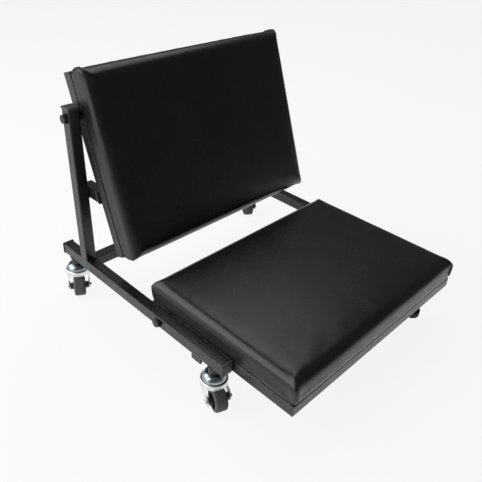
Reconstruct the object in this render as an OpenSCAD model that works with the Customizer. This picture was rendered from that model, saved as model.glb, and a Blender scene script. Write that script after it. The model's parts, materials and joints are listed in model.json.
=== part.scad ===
// Low rolling work seat: a square-tube base on four swivel casters, a padded seat that lifts
// about bolts through the rails, and a padded backrest that hangs from bolts in two posts.
// Millimetres, +Z up, floor at Z = 0. The sitter faces -Y, so the sitter's right side is -X.

/* [Base frame] */
// Outside size of the square steel tube
tube = 25; // [22:0.5:30]
// Wall of the square tube
tube_wall = 1.5; // [1:0.1:2.5]
// Radius on the outside corners of the tube
tube_round = 2.5; // [1:0.1:3.5]
// Width of the base over both rails
base_w = 608; // [500:1:700]
// Length of a rail between its end plugs
rail_l = 540; // [500:1:620]
// Height of a post above the rails
post_h = 355; // [350:1:420]
// From the rear end of a rail to the rear face of its post
post_setback = 74; // [60:1:100]
// From the front casters' stems back to the middle of the front crossbar
front_bar_back = 53; // [42:0.5:60]
// Distance that the front crossbar's ends stop short of the rails' outer faces
front_bar_inset = 12; // [6:0.5:14]
// From the backrest's pivot bolts down to the middle of a stop stub
stub_down = 166.5; // [120:0.5:200]
// Thickness of the pad on the end of a stop stub
stub_pad_t = 5; // [3:0.5:8]

/* [Plugs and caps] */
// Thickness of the visible rim of a plastic tube plug
plug_rim = 4; // [3:0.1:6]
// How far the rim of a plug stands out past the sides of its tube
plug_lip = 1.5; // [0:0.1:2]
// Depth of the part of a plug that sits inside the tube
plug_depth = 12; // [8:0.5:12.5]
// Rounding of the rim of a plug
plug_bevel = 2.4; // [0.5:0.1:2.8]

/* [Seat] */
// From the rear end of the rails to the seat's pivot bolts
seat_pivot_back = 355; // [340:1:380]
// From the seat's pivot to the front of its frame
seat_front = 334; // [300:1:360]
// From the seat's pivot to the rear of its frame
seat_rear = 54; // [44:0.5:60]
// Running gap between the seat frame and each rail
seat_gap = 2.5; // [2:0.1:6]
// How far the seat frame sits below the rails
seat_drop = 4; // [2:0.1:4.5]

/* [Backrest] */
// From the top of a post down to the backrest's pivot bolts
back_pivot_down = 19; // [18:0.5:31]
// From the backrest's pivot to the lower end of its frame
back_lower = 307; // [270:1:315]
// From the backrest's pivot to the upper end of its frame
back_upper = 84; // [60:1:100]
// Gap between a post and the side of the backrest frame
back_gap = 4; // [3.5:0.5:14]
// Lean of the backrest when it rests on the stop stubs, in degrees
recline = 20; // [14:0.5:24]

/* [Pads] */
// Thickness of a pad at its edge, board included
pad_t = 54; // [46:0.5:60]
// How far the top of a pad swells above its edge
pad_crown = 6; // [3:0.5:8]
// How far a pad's sides pull in between its corners
pad_draw = 3.5; // [1:0.25:5]
// Distance from the frame's outline in to the pad's outline
pad_inset = 0.25; // [0:0.25:2]
// Rounding of a pad's upper edge
pad_edge = 18; // [12:0.5:21]
// Rounding of a pad's lower edge, where the cover wraps round the board
pad_wrap = 6; // [4:0.5:8]
// Radius of a pad's corners seen from above
pad_corner = 9; // [7:0.5:16]
// Thickness of the plywood board
board_t = 9; // [6:0.5:12]
// Distance from the pad's outline in to the board's edge
board_inset = 10; // [9:0.5:16]

/* [Pivot bolts] */
// Diameter of the plain shank that a frame turns on
pivot_d = 10; // [8:0.5:11]
// Diameter of the thread for the lock nut
pivot_thread_d = 8; // [6:0.5:8]
// Size across the flats of a bolt head
head_af = 17; // [15:0.5:19]
// Thickness of a bolt head
head_t = 6.4; // [4:0.1:8]
// Size across the flats of a lock nut
nut_af = 13; // [10:0.5:13]
// Thickness of a lock nut
nut_t = 8; // [6:0.1:10]
// Diameter of a plain washer
washer_d = 21; // [19:0.5:24]
// Thickness of a plain washer
washer_t = 2; // [1:0.1:2.2]
// Outside diameter of the spacer between a post and the backrest
spacer_d = 18; // [14:0.5:22]

/* [Board screws] */
// Diameter of a screw's shank
screw_d = 4.5; // [3.5:0.1:5]
// Diameter of a screw's pan head
screw_head_d = 9; // [7:0.1:10]
// Thickness of a screw's pan head
screw_head_t = 3; // [2:0.1:3.5]
// Depth of a screw in the board
screw_bite = 7; // [4:0.1:8]
// From a frame's ends to its outer screws
screw_inset = 24; // [20:0.5:30]

/* [Casters] */
// Diameter of a wheel
wheel_d = 50; // [46:0.5:60]
// Width of a tyre
tyre_w = 26; // [22:0.5:29]
// Thickness of the tyre over the rim
tyre_t = 6.5; // [5:0.25:8]
// From the swivel axis back to the axle
trail = 23; // [22:0.5:28]
// Diameter of the fork's crown
crown_d = 55; // [52:0.5:60]
// Height of the fork's crown
crown_h = 12.3; // [11:0.1:16]
// Height of the upper race's dome above the crown
dome_h = 14.7; // [10:0.1:18]
// Thickness of the fork's legs
leg_t = 2.8; // [2:0.1:3.2]
// Radius of a leg's end around the axle
leg_end_r = 9; // [8:0.25:10]
// Height over which a leg steps in from the crown's rim to the wheel
leg_step_h = 11; // [8:0.5:14]
// Length of the wheel's hub along the axle
hub_l = 42; // [36:0.25:43]
// Diameter of the hub's barrel
hub_d = 16; // [13:0.5:20]
// Diameter of the axle
axle_d = 6; // [5:0.25:8]
// Diameter of the swivel stem
stem_d = 10; // [8:0.25:11]
// Diameter of the socket welded under the rail
socket_d = 25; // [20:0.5:28]
// Height of the socket
socket_h = 17; // [12:0.5:24]
// From the rear end of a rail to the rear casters' stems
caster_rear = 29; // [28:0.5:36]
// From the front end of a rail to the front casters' stems
caster_front = 31; // [30:0.5:48]
// Rolling direction of the rear right caster, in degrees from +X
turn_rear_right = 59; // [50:1:70]
// Rolling direction of the front right caster, in degrees
turn_front_right = 68; // [60:1:90]
// Rolling direction of the rear left caster, in degrees
turn_rear_left = 56; // [50:1:90]
// Rolling direction of the front left caster, in degrees
turn_front_left = 121; // [110:1:130]

/* [Front foot] */
// From the seat's middle to the foot under its front tube, towards the sitter's left
foot_side = 160; // [100:1:200]
// Diameter of the foot's steel boss
foot_boss_d = 16; // [12:0.5:16]
// Height of the foot's steel boss
foot_boss_h = 13; // [8:0.5:18]
// Diameter of the foot's rubber pad
foot_d = 34; // [24:0.5:34]
// Height of the foot's rubber pad
foot_h = 17; // [12:0.5:20]

/* [Hidden] */

// Overrun of a cut past the face that it opens
over = 1;
// Radial clearance of a turning fit
run_fit = 0.05;
// Radial clearance of a bolt in a fixed hole
bolt_fit = 0.25;
// Gap between faces that pass or rest on each other
rest_gap = 0.3;
// Gap between a plug and the inside of its tube
plug_fit = 0.15;
// Facets of round things, and steps in the round corner of a tube and the round rim of a plug
round_fn = 64;
corner_steps = 5;
plug_steps = 3;

// Casters, from the floor up
wheel_r = wheel_d / 2;
crown_r = crown_d / 2;
wheel_clear = 1;
crown_floor_t = 2.5;
crown_wall = 2.2;
crown_bevel = 0.8;
crown_z = wheel_d + wheel_clear;
crown_top = crown_z + crown_h;
dome_top = crown_top + dome_h;
rail_z = dome_top + socket_h;
stem_head_r = 0.8 * stem_d;
stem_head_t = 3;
ball_d = 4.5;
ball_gap = 0.12;
ball_n = 12;
ball_ring_r = crown_r - crown_wall - 1.4 * ball_d;
race_z = crown_z + crown_floor_t + ball_d + 2 * ball_gap;
race_edge_t = 2.6;
dome_steps = 6;
hub_gap = 0.5;
leg_in = hub_l / 2 + hub_gap;
leg_out = leg_in + leg_t;
leg_half = sqrt(crown_r * crown_r - leg_out * leg_out);
rim_r = wheel_r - tyre_t;
rim_wall = 3;
web_t = 6;
tyre_lip = 1.5;
tyre_shoulder = tyre_t - tyre_lip;
shoulder_steps = 5;
axle_head_d = 9.5;
axle_head_t = 2;
axle_nut_af = 9;
axle_nut_t = 3;

// Base frame
half_w = base_w / 2;
side_x = half_w - tube / 2;
inner_x = half_w - tube;
rail_top = rail_z + tube;
rail_mid = rail_z + tube / 2;
seat_pivot_fore = plug_rim + seat_pivot_back;
overall_l = seat_pivot_fore + seat_front;
rear_y = overall_l / 2 - plug_rim;
post_y = rear_y - post_setback - tube / 2;
caster_rear_y = rear_y - caster_rear;
caster_front_y = rear_y - rail_l + caster_front;
front_bar_y = caster_front_y + front_bar_back;
packer_t = seat_drop + rest_gap;
front_bar_z = rail_z - packer_t - tube / 2;
front_bar_half = half_w - front_bar_inset;

// Pivots
pivot_r = pivot_d / 2;
thread_r = pivot_thread_d / 2;
seat_pivot_y = rear_y - seat_pivot_back;
back_pivot_z = rail_top + post_h - back_pivot_down;
stub_z = back_pivot_z - stub_down;
seat_w = 2 * (inner_x - seat_gap);
back_w = 2 * (inner_x - back_gap);
seat_angle = 0;
back_angle = 90 - recline;
thread_past = 1.5;

// Pads
pad_side_steps = 8;
pad_corner_steps = 3;
pad_round_steps = 4;
pad_top_shares = [0.92, 0.8, 0.64, 0.45, 0.24];
crown_power = 2.2;
pad_belly_shares = [0.35, 0.6];
wrap_draw_share = 0.6;
top_draw_share = 0.7;
pad_clear = 0.3;
board_corner = 6;

// Foot, its pad flush with the front of the frame
foot_round = 6;
foot_y = foot_d / 2 - seat_front;

function corner_sign(q) = [q == 0 || q == 3 ? 1 : -1, q < 2 ? 1 : -1];

// Outline of a square with round corners
function round_square(half, r) = [
    for (q = [0:3]) for (k = [0:corner_steps])
        let (a = 90 * (q + k / corner_steps), s = corner_sign(q))
        [s[0] * (half - r) + r * cos(a), s[1] * (half - r) + r * sin(a)]];

// Point where a line from p touches the circle of radius r round c, on side s
function tangent(p, c, r, s) =
    let (d = c - p, far = norm(d), a = atan2(d[1], d[0]) + s * asin(r / far), l = sqrt(far * far - r * r))
    [p[0] + l * cos(a), p[1] + l * sin(a)];

module steel() { color([0.09, 0.09, 0.10]) children(); }
module zinc() { color([0.74, 0.76, 0.78]) children(); }
module plastic() { color([0.13, 0.13, 0.14]) children(); }
module vinyl() { color([0.05, 0.05, 0.055]) children(); }
module plywood() { color([0.72, 0.57, 0.38]) children(); }
module rubber() { color([0.20, 0.20, 0.22]) children(); }
module bolt_black() { color([0.16, 0.16, 0.17]) children(); }

module disc(r, h) { cylinder(r = r, h = h, $fn = round_fn); }

// Hexagon measured across its flats, with a flat on top once it lies along X
module hex(af, h) { rotate([0, 0, 30]) cylinder(d = af / cos(30), h = h, $fn = 6); }

// Lays a Z-wise shape along X, pointing towards side s
module along_x(s) { rotate([0, s * 90, 0]) children(); }

// Square tube standing on Z = 0
module tube_run(l) {
    difference() {
        linear_extrude(l) polygon(round_square(tube / 2, tube_round));
        translate([0, 0, l / 2])
            cube([tube - 2 * tube_wall, tube - 2 * tube_wall, l + 2 * over], center = true);
    }
}

// Plug in the tube end at Z = 0, with its rounded rim above
module tube_plug() {
    inside = tube - 2 * tube_wall - 2 * plug_fit;
    hull() for (k = [0:plug_steps]) let (t = 90 * k / plug_steps)
        linear_extrude(plug_rim - plug_bevel * (1 - sin(t)))
            polygon(round_square(tube / 2 + plug_lip - plug_bevel * (1 - cos(t)), tube_round));
    translate([0, 0, (plug_rim - plug_bevel - plug_depth) / 2])
        cube([inside, inside, plug_depth + plug_rim - plug_bevel], center = true);
}

// Base rails, posts and crossbars

module rail(s) {
    steel() difference() {
        translate([s * side_x, rear_y - rail_l, rail_mid]) rotate([-90, 0, 0]) tube_run(rail_l);
        translate([s * (inner_x - over), seat_pivot_y, rail_mid])
            along_x(s) disc(pivot_r + bolt_fit, tube + 2 * over);
    }
}

module post(s) {
    steel() difference() {
        translate([s * side_x, post_y, rail_top]) tube_run(post_h);
        translate([s * (inner_x - over), post_y, back_pivot_z])
            along_x(s) disc(pivot_r + bolt_fit, tube + 2 * over);
    }
}

module rear_crossbar() {
    steel() translate([-inner_x, post_y, rail_mid]) along_x(1) tube_run(2 * inner_x);
}

module front_crossbar() {
    steel() translate([-front_bar_half + plug_rim, front_bar_y, front_bar_z])
        along_x(1) tube_run(2 * (front_bar_half - plug_rim));
}

module front_crossbar_packers() {
    packer_w = front_bar_half - plug_rim - inner_x;
    steel() for (s = [-1, 1])
        translate([s * (inner_x + packer_w / 2), front_bar_y, rail_z - packer_t / 2])
            cube([packer_w, tube - 2 * tube_round, packer_t], center = true);
}

// Y of a plane parallel to the backrest's rear face, d behind it, at height z
function back_plane_y(z, d) =
    post_y - tan(recline) * (back_pivot_z - z) + (tube / 2 + d) / cos(recline);

// Side outline of a stub between two planes behind the backrest
module stub_outline(d0, d1) {
    lo = stub_z - tube / 2;
    hi = lo + tube;
    polygon([[back_plane_y(lo, d0), lo], [d1, lo], [d1, hi], [back_plane_y(hi, d0), hi]]);
}

module stop_stub(s) {
    steel() intersection() {
        translate([s * (inner_x - tube / 2), post_y + tube / 2, stub_z])
            rotate([90, 0, 0]) tube_run(4 * tube);
        translate([s * (inner_x - tube / 2) - tube / 2, 0, 0])
            rotate([90, 0, 90]) linear_extrude(tube)
                stub_outline(rest_gap + stub_pad_t, post_y + tube / 2);
    }
}

// Rubber pads glued over the ends of the stubs, where the backrest leans
module stop_stub_pads() {
    lo = stub_z - tube / 2;
    hi = lo + tube;
    rubber() for (s = [-1, 1])
        translate([s * (inner_x - tube / 2) - tube / 2, 0, 0]) rotate([90, 0, 90]) linear_extrude(tube)
            polygon([[back_plane_y(lo, rest_gap), lo], [back_plane_y(lo, rest_gap + stub_pad_t), lo],
                     [back_plane_y(hi, rest_gap + stub_pad_t), hi], [back_plane_y(hi, rest_gap), hi]]);
}

module rail_end_plugs() {
    plastic() for (s = [-1, 1]) {
        translate([s * side_x, rear_y, rail_mid]) rotate([-90, 0, 0]) tube_plug();
        translate([s * side_x, rear_y - rail_l, rail_mid]) rotate([90, 0, 0]) tube_plug();
    }
}

module post_caps() {
    plastic() for (s = [-1, 1]) translate([s * side_x, post_y, rail_top + post_h]) tube_plug();
}

module crossbar_end_plugs() {
    plastic() for (s = [-1, 1])
        translate([s * (front_bar_half - plug_rim), front_bar_y, front_bar_z]) along_x(s) tube_plug();
}

// Pivot bolts, washers, spacers and lock nuts

// Shouldered bolt whose head stands over the face at x0 and whose nut seats at x1
module pivot_bolt(s, y, z, x0, x1) {
    translate([s * x0, y, z]) along_x(-s) disc(pivot_r, x0 - x1);
    translate([s * x0, y, z]) along_x(s) hex(head_af, head_t);
    translate([s * (x1 + over), y, z]) along_x(-s) disc(thread_r, nut_t + thread_past + over);
}

module lock_nut(s, y, z, x1) {
    translate([s * x1, y, z]) along_x(-s) difference() {
        hex(nut_af, nut_t);
        translate([0, 0, -over]) disc(thread_r + run_fit, nut_t + 2 * over);
    }
}

module ring(r_out, r_in, h) {
    difference() {
        disc(r_out, h);
        translate([0, 0, -over]) disc(r_in, h + 2 * over);
    }
}

back_nut_x = back_w / 2 - tube - rest_gap;
seat_nut_x = seat_w / 2 - tube - rest_gap;

module back_pivot_bolts() {
    bolt_black() for (s = [-1, 1]) pivot_bolt(s, post_y, back_pivot_z, half_w + washer_t, back_nut_x);
}

module back_pivot_nuts() {
    bolt_black() for (s = [-1, 1]) lock_nut(s, post_y, back_pivot_z, back_nut_x);
}

module back_pivot_spacers() {
    bolt_black() for (s = [-1, 1]) translate([s * inner_x, post_y, back_pivot_z])
        along_x(-s) ring(spacer_d / 2, pivot_r + run_fit, back_gap - rest_gap);
}

module seat_pivot_bolts() {
    bolt_black() for (s = [-1, 1]) pivot_bolt(s, seat_pivot_y, rail_mid, half_w + washer_t, seat_nut_x);
}

module seat_pivot_nuts() {
    bolt_black() for (s = [-1, 1]) lock_nut(s, seat_pivot_y, rail_mid, seat_nut_x);
}

// Washers under the four heads, and one between each rail and the seat frame
module pivot_washers() {
    bolt_black() for (s = [-1, 1]) {
        for (p = [[post_y, back_pivot_z], [seat_pivot_y, rail_mid]])
            translate([s * half_w, p[0], p[1]]) along_x(s) ring(washer_d / 2, pivot_r + bolt_fit, washer_t);
        translate([s * inner_x, seat_pivot_y, rail_mid])
            along_x(-s) ring(washer_d / 2, pivot_r + bolt_fit, seat_gap - rest_gap);
    }
}

// Frames of the seat and backrest, drawn flat round their pivot: -Y is the front or lower end

module place_seat() { translate([0, seat_pivot_y, rail_mid]) rotate([seat_angle, 0, 0]) children(); }
module place_back() { translate([0, post_y, back_pivot_z]) rotate([back_angle, 0, 0]) children(); }

// Tube along X with mitred ends, its outer face at y = 0
module mitred_tube(l) {
    intersection() {
        translate([-l / 2, tube / 2, 0]) along_x(1) tube_run(l);
        linear_extrude(tube + 2 * over, center = true)
            polygon([[-l / 2, 0], [l / 2, 0], [l / 2 - tube, tube], [tube - l / 2, tube]]);
    }
}

function screw_places(fore, aft) = [-fore + screw_inset, (aft - fore) / 2, aft - screw_inset];

// One side of a frame, with its pivot bore and its screw holes; drop is the frame's fall below the pivot
module side_tube(s, w, fore, aft, drop) {
    steel() difference() {
        translate([s * w / 2, (aft - fore) / 2, -drop]) rotate([0, 0, s * 90]) mitred_tube(fore + aft);
        translate([s * (w / 2 - tube - over), 0, 0]) along_x(s) disc(pivot_r + run_fit, tube + 2 * over);
        for (y = screw_places(fore, aft))
            translate([s * (w / 2 - tube / 2), y, -drop - tube / 2 - over])
                disc(screw_d / 2 + bolt_fit, tube + 2 * over);
    }
}

module end_tube(w, y, turn, drop) {
    steel() translate([0, y, -drop]) rotate([0, 0, turn]) mitred_tube(w);
}

module board_screws(w, fore, aft, drop) {
    zinc() for (s = [-1, 1]) for (y = screw_places(fore, aft))
        translate([s * (w / 2 - tube / 2), y, -drop - tube / 2]) {
            translate([0, 0, -screw_head_t]) disc(screw_head_d / 2, screw_head_t);
            disc(screw_d / 2, tube + screw_bite);
        }
}

module board(w, fore, aft, drop) {
    inset = pad_inset + board_inset;
    plywood() difference() {
        translate([0, (aft - fore) / 2, tube / 2 - drop]) {
            linear_extrude(board_t) union() {
                square([w - 2 * inset - 2 * board_corner, fore + aft - 2 * inset], center = true);
                square([w - 2 * inset, fore + aft - 2 * inset - 2 * board_corner], center = true);
                for (sx = [-1, 1]) for (sy = [-1, 1])
                    translate([sx * (w / 2 - inset - board_corner),
                               sy * ((fore + aft) / 2 - inset - board_corner)])
                        circle(r = board_corner, $fn = round_fn);
            }
        }
        for (s = [-1, 1]) for (y = screw_places(fore, aft))
            translate([s * (w / 2 - tube / 2), y, tube / 2 - drop - over])
                disc(screw_d / 2 + run_fit, screw_bite + rest_gap + over);
    }
}

// Swell of the crown over a point of the pad's top, nothing along its edge
function crown_at(x, y, a, b) =
    pad_crown * max(0, 1 - pow(abs(x) / a, crown_power)) * max(0, 1 - pow(abs(y) / b, crown_power));

// Outline of a pad at one level. in is the inset, scl shrinks it about the middle, and pull draws
// the sides in between the corners.
function pad_ring(a, b, in, scl, pull, z) =
    let (r = max(pad_corner - in, pad_corner / 5), n = pad_corner_steps, m = pad_side_steps,
         arcs = [for (q = [0:3]) [for (k = [0:n])
             let (t = 90 * (q + k / n), s = corner_sign(q))
             [s[0] * (a - in - r) + r * cos(t), s[1] * (b - in - r) + r * sin(t)]]])
    [for (q = [0:3]) each concat(
        [for (p = arcs[q]) [scl * p[0], scl * p[1], z]],
        [for (j = [1:m - 1])
            let (f = j / m, p = arcs[q][n] * (1 - f) + arcs[(q + 1) % 4][0] * f,
                 d = pull * sin(180 * f), out = [cos(90 * (q + 1)), sin(90 * (q + 1))])
            [scl * (p[0] - d * out[0]), scl * (p[1] - d * out[1]), z]])];

// Levels of a pad from its underside to the last ring below its crown's middle
function pad_rings(a, b) = concat(
    [for (k = [0:pad_round_steps]) let (t = 90 * k / pad_round_steps)
        pad_ring(a, b, pad_wrap * (1 - sin(t)), 1, pad_draw * wrap_draw_share * k / pad_round_steps,
                 pad_wrap * (1 - cos(t)))],
    [for (f = pad_belly_shares) pad_ring(a, b, 0, 1, pad_draw, f * pad_t)],
    [for (k = [0:pad_round_steps]) let (t = 90 * k / pad_round_steps)
        pad_ring(a, b, pad_edge * (1 - cos(t)), 1, pad_draw * top_draw_share,
                 pad_t - pad_edge * (1 - sin(t)))],
    [for (f = pad_top_shares)
        [for (p = pad_ring(a, b, pad_edge, f, pad_draw * top_draw_share, pad_t))
            p + [0, 0, crown_at(p[0], p[1], a - pad_edge, b - pad_edge)]]]);

module pad_form(a, b) {
    rings = pad_rings(a, b);
    n = len(rings[0]);
    m = len(rings);
    polyhedron(
        points = concat([for (g = rings) each g], [[0, 0, pad_t + pad_crown], [0, 0, 0]]),
        faces = concat(
            [for (i = [0:n - 1]) [i, (i + 1) % n, m * n + 1]],
            [for (j = [0:m - 2]) for (i = [0:n - 1])
                each [[j * n + i, (j + 1) * n + i, (j + 1) * n + (i + 1) % n],
                      [j * n + i, (j + 1) * n + (i + 1) % n, j * n + (i + 1) % n]]],
            [for (i = [0:n - 1]) [(m - 1) * n + i, m * n, (m - 1) * n + (i + 1) % n]]));
}

// Foam pad in its cover, with the board let into its underside
module cushion(w, fore, aft, drop) {
    a = w / 2 - pad_inset;
    b = (fore + aft) / 2 - pad_inset;
    vinyl() translate([0, (aft - fore) / 2, tube / 2 - drop + pad_clear]) difference() {
        pad_form(a, b);
        translate([0, 0, (board_t - over) / 2])
            cube([2 * (a - board_inset + pad_clear), 2 * (b - board_inset + pad_clear), board_t + over],
                 center = true);
    }
}

// Foot under the front tube of the seat

module seat_foot_boss() {
    steel() place_seat() translate([foot_side, foot_y, -seat_drop - tube / 2 - foot_boss_h])
        disc(foot_boss_d / 2, foot_boss_h);
}

module seat_foot_pad() {
    r = foot_d / 2;
    rubber() place_seat() translate([foot_side, foot_y, -seat_drop - tube / 2 - foot_boss_h - foot_h])
        rotate_extrude($fn = round_fn) polygon(concat(
            [[0, 0]],
            [for (k = [0:shoulder_steps]) let (t = -90 + 90 * k / shoulder_steps)
                [r - foot_round + foot_round * cos(t), foot_round + foot_round * sin(t)]],
            [[r, foot_h], [0, foot_h]]));
}

// Casters: the stem axis is at the origin and the wheel trails towards -X

corners = [
    [-side_x, caster_rear_y, turn_rear_right], [-side_x, caster_front_y, turn_front_right],
    [side_x, caster_rear_y, turn_rear_left], [side_x, caster_front_y, turn_front_left]];

module place_caster(i) {
    translate([corners[i][0], corners[i][1], 0]) rotate([0, 0, corners[i][2]]) children();
}

// Lays a Z-wise shape along the axle, centred on the wheel
module at_axle() { translate([-trail, 0, wheel_r]) rotate([-90, 0, 0]) children(); }

module caster_sockets() {
    steel() for (i = [0:3]) place_caster(i) translate([0, 0, dome_top])
        ring(socket_d / 2, stem_d / 2 + run_fit, socket_h);
}

module caster_stems() {
    zinc() for (i = [0:3]) place_caster(i) translate([0, 0, crown_z - rest_gap]) {
        translate([0, 0, -stem_head_t]) disc(stem_head_r, stem_head_t);
        disc(stem_d / 2, rail_z - crown_z);
    }
}

module caster_top_races() {
    edge_r = crown_r - crown_wall - 2 * rest_gap;
    top_r = socket_d / 2;
    edge_z = race_z + race_edge_t;
    zinc() for (i = [0:3]) place_caster(i) rotate_extrude($fn = round_fn) polygon(concat(
        [[stem_d / 2 + run_fit, race_z], [edge_r, race_z]],
        [for (k = [0:dome_steps]) let (t = 90 * k / dome_steps)
            [top_r + (edge_r - top_r) * cos(t), edge_z + (dome_top - edge_z) * sin(t)]],
        [[stem_d / 2 + run_fit, dome_top]]));
}

module caster_bearing_balls() {
    zinc() for (i = [0:3]) place_caster(i) for (k = [0:ball_n - 1])
        rotate([0, 0, 360 * k / ball_n])
            translate([ball_ring_r, 0, crown_z + crown_floor_t + ball_gap + ball_d / 2])
                sphere(d = ball_d, $fn = round_fn / 2);
}

// Leg of pressed sheet: its side outline, and its section that steps in from the crown's rim
module fork_leg(s) {
    top = crown_z + crown_floor_t;
    c = [-trail, wheel_r];
    p = [leg_half, top];
    q = [-leg_half, top];
    intersection() {
        rotate([90, 0, 0]) linear_extrude(crown_d, center = true) union() {
            polygon([p, q, tangent(q, c, leg_end_r, -1), c, tangent(p, c, leg_end_r, 1)]);
            translate(c) circle(r = leg_end_r, $fn = round_fn);
        }
        rotate([90, 0, 90]) linear_extrude(2 * (trail + crown_d), center = true)
            polygon([[s * crown_r, top], [s * crown_r, crown_z - leg_t], [s * leg_out, crown_z - leg_step_h],
                     [s * leg_out, 0], [s * leg_in, 0], [s * leg_in, crown_z - leg_step_h],
                     [s * (crown_r - leg_t), crown_z - leg_t], [s * (crown_r - leg_t), top]]);
        union() {
            translate([0, 0, crown_z - leg_step_h]) disc(crown_r, top - crown_z + leg_step_h);
            translate([-trail - crown_r, -crown_r, 0]) cube([trail + crown_d, crown_d, crown_z - leg_step_h]);
        }
    }
}

module fork(i) {
    zinc() place_caster(i) difference() {
        union() {
            rotate_extrude($fn = round_fn) polygon([
                [stem_d / 2 + run_fit, crown_z], [crown_r - crown_bevel, crown_z],
                [crown_r, crown_z + crown_bevel], [crown_r, crown_top - crown_bevel],
                [crown_r - crown_bevel, crown_top], [crown_r - crown_wall, crown_top],
                [crown_r - crown_wall, crown_z + crown_floor_t],
                [stem_d / 2 + run_fit, crown_z + crown_floor_t]]);
            fork_leg(-1);
            fork_leg(1);
        }
        at_axle() translate([0, 0, -leg_out - over]) disc(axle_d / 2 + run_fit, 2 * (leg_out + over));
    }
}

module axle(i) {
    reach = 2 * leg_out + axle_nut_t + over;
    zinc() place_caster(i) at_axle() {
        translate([0, 0, leg_out - reach]) disc(axle_d / 2, reach);
        translate([0, 0, leg_out]) disc(axle_head_d / 2, axle_head_t);
    }
}

module axle_nut(i) {
    zinc() place_caster(i) at_axle() translate([0, 0, -leg_out - axle_nut_t]) difference() {
        hex(axle_nut_af, axle_nut_t);
        translate([0, 0, -over]) disc(axle_d / 2 + run_fit, axle_nut_t + 2 * over);
    }
}

module hub(i) {
    bore = axle_d / 2 + run_fit;
    end = hub_l / 2;
    rim = tyre_w / 2 - tyre_shoulder / 2;
    plastic() place_caster(i) at_axle() rotate_extrude($fn = round_fn) polygon([
        [bore, -end], [hub_d / 2, -end], [hub_d / 2, -web_t / 2], [rim_r - rim_wall, -web_t / 2],
        [rim_r - rim_wall, -rim], [rim_r, -rim], [rim_r, rim], [rim_r - rim_wall, rim],
        [rim_r - rim_wall, web_t / 2], [hub_d / 2, web_t / 2], [hub_d / 2, end], [bore, end]]);
}

module tyre(i) {
    in = rim_r + run_fit;
    half = tyre_w / 2;
    sh = tyre_shoulder;
    rubber() place_caster(i) at_axle() rotate_extrude($fn = round_fn) polygon(concat(
        [[in, -half]],
        [for (k = [0:shoulder_steps]) let (t = -90 + 90 * k / shoulder_steps)
            [wheel_r - sh + sh * cos(t), -half + sh + sh * sin(t)]],
        [for (k = [0:shoulder_steps]) let (t = 90 * k / shoulder_steps)
            [wheel_r - sh + sh * cos(t), half - sh + sh * sin(t)]],
        [[in, half]]));
}

rail(-1);  // rail_right
rail(1);  // rail_left
post(-1);  // post_right
post(1);  // post_left
rear_crossbar();
front_crossbar();
front_crossbar_packers();
stop_stub(-1);  // stop_stub_right
stop_stub(1);  // stop_stub_left
stop_stub_pads();
rail_end_plugs();
post_caps();
crossbar_end_plugs();
caster_sockets();
caster_stems();
caster_top_races();
caster_bearing_balls();
back_pivot_bolts();
back_pivot_spacers();
seat_pivot_bolts();
pivot_washers();
back_pivot_nuts();
seat_pivot_nuts();
place_back() side_tube(-1, back_w, back_lower, back_upper, 0);  // back_side_tube_right
place_back() side_tube(1, back_w, back_lower, back_upper, 0);  // back_side_tube_left
place_back() end_tube(back_w, back_upper, 180, 0);  // back_top_tube
place_back() end_tube(back_w, -back_lower, 0, 0);  // back_bottom_tube
place_back() board(back_w, back_lower, back_upper, 0);  // back_board
place_back() cushion(back_w, back_lower, back_upper, 0);  // back_cushion
place_back() board_screws(back_w, back_lower, back_upper, 0);  // back_board_screws
place_seat() side_tube(-1, seat_w, seat_front, seat_rear, seat_drop);  // seat_side_tube_right
place_seat() side_tube(1, seat_w, seat_front, seat_rear, seat_drop);  // seat_side_tube_left
place_seat() end_tube(seat_w, -seat_front, 0, seat_drop);  // seat_front_tube
place_seat() end_tube(seat_w, seat_rear, 180, seat_drop);  // seat_rear_tube
place_seat() board(seat_w, seat_front, seat_rear, seat_drop);  // seat_board
place_seat() cushion(seat_w, seat_front, seat_rear, seat_drop);  // seat_cushion
place_seat() board_screws(seat_w, seat_front, seat_rear, seat_drop);  // seat_board_screws
seat_foot_boss();
seat_foot_pad();
fork(0);  // fork_rear_right
axle(0);  // axle_rear_right
axle_nut(0);  // axle_nut_rear_right
tyre(0);  // tyre_rear_right
hub(0);  // hub_rear_right
fork(1);  // fork_front_right
axle(1);  // axle_front_right
axle_nut(1);  // axle_nut_front_right
tyre(1);  // tyre_front_right
hub(1);  // hub_front_right
fork(2);  // fork_rear_left
axle(2);  // axle_rear_left
axle_nut(2);  // axle_nut_rear_left
tyre(2);  // tyre_rear_left
hub(2);  // hub_rear_left
fork(3);  // fork_front_left
axle(3);  // axle_front_left
axle_nut(3);  // axle_nut_front_left
tyre(3);  // tyre_front_left
hub(3);  // hub_front_left
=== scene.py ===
import json
import math

import bmesh
import bpy
from mathutils import Matrix, Vector
from mathutils.bvhtree import BVHTree


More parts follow.
